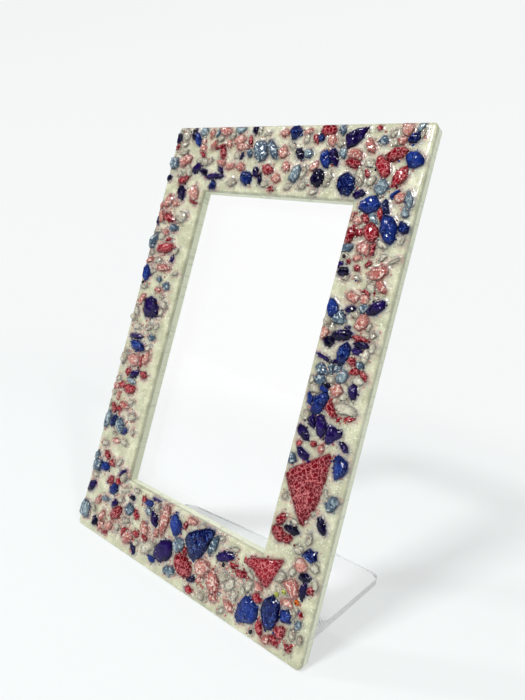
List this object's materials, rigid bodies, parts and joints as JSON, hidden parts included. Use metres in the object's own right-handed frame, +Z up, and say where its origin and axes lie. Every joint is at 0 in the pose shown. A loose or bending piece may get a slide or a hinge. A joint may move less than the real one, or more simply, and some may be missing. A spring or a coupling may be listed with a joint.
{
  "type": "glass mosaic picture frame",
  "caption": "Free-standing picture frame with a border of crushed coloured glass set in pale resin, on a bent clear acrylic stand with a flat foot.",
  "frame": {"origin": "centre of the footprint, on the surface that the frame stands on", "axes": "+Z up; the picture side faces -Y; the foot runs back along +Y; +X is to the right as seen from the front"},
  "size_m": [0.112, 0.0759, 0.1727],
  "materials": {
    "clear_acrylic": "clear, polished",
    "clear_plate": "clear, polished",
    "pale_resin": "pale champagne, glossy, poured",
    "clear_adhesive": "clear",
    "cobalt_glass": "glossy, crushed",
    "steel_glass": "glossy, crushed",
    "navy_glass": "glossy, crushed",
    "ruby_glass": "glossy, granular",
    "rose_glass": "glossy, crushed",
    "clear_glass": "glossy, crushed",
    "black_glass": "glossy, polished",
    "lime_glass": "glossy, polished",
    "amber_glass": "glossy, polished"
  },
  "bodies": {
    "root": {"acrylic_stand": "clear_acrylic", "glass_plate": "clear_plate", "resin_bed": "pale_resin", "side_bonding_strips": "clear_adhesive", "cross_bonding_strips": "clear_adhesive", "cobalt_slab": "cobalt_glass", "cobalt_block": "cobalt_glass", "cobalt_boulder": "cobalt_glass", "cobalt_shield": "cobalt_glass", "cobalt_teardrop": "cobalt_glass", "navy_wedge": "navy_glass", "navy_boulder": "navy_glass", "violet_triangle": "navy_glass", "ruby_shard": "ruby_glass", "ruby_triangle": "ruby_glass", "top_cobalt_chips": "cobalt_glass", "top_steel_chips": "steel_glass", "top_navy_chips": "navy_glass", "top_ruby_chips": "ruby_glass", "top_rose_chips": "rose_glass", "top_clear_chips": "clear_glass", "right_cobalt_chips": "cobalt_glass", "right_steel_chips": "steel_glass", "right_navy_chips": "navy_glass", "right_ruby_chips": "ruby_glass", "right_rose_chips": "rose_glass", "right_clear_chips": "clear_glass", "bottom_cobalt_chips": "cobalt_glass", "bottom_steel_chips": "steel_glass", "bottom_navy_chips": "navy_glass", "bottom_ruby_chips": "ruby_glass", "bottom_rose_chips": "rose_glass", "bottom_clear_chips": "clear_glass", "left_cobalt_chips": "cobalt_glass", "left_steel_chips": "steel_glass", "left_navy_chips": "navy_glass", "left_ruby_chips": "ruby_glass", "left_rose_chips": "rose_glass", "left_clear_chips": "clear_glass", "crystal_beads": "clear_glass", "ruby_beads": "ruby_glass", "black_beads": "black_glass", "lime_beads": "lime_glass", "amber_bead": "amber_glass"}
  },
  "joints": []
}
